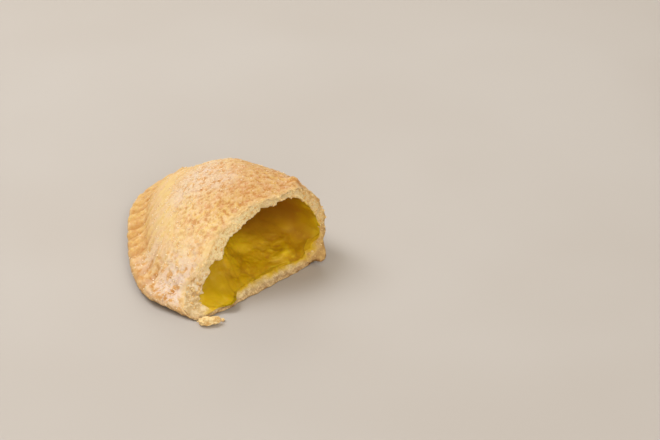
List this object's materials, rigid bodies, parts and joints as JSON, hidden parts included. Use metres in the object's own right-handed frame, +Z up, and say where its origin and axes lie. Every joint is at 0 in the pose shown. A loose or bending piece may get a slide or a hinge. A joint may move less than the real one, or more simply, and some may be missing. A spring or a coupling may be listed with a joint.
{
  "type": "half empanada",
  "caption": "Half of a baked fruit empanada, torn across the middle: a domed pastry case with a crimped edge around a glossy yellow fruit filling with an air pocket above it.",
  "frame": {"origin": "bottom centre of the half's bounding box, on the table", "axes": "+Z up; the torn end faces -Y, the tip points to +Y, the fold is at +X and the crimped edge at -X"},
  "size_m": [0.076, 0.0822, 0.0339],
  "materials": {
    "crust": "matte baked dough with a sandy, sugared surface",
    "filling": "wet, glossy cooked fruit"
  },
  "bodies": {
    "root": {"crust": "crust", "filling": "filling"}
  },
  "joints": []
}
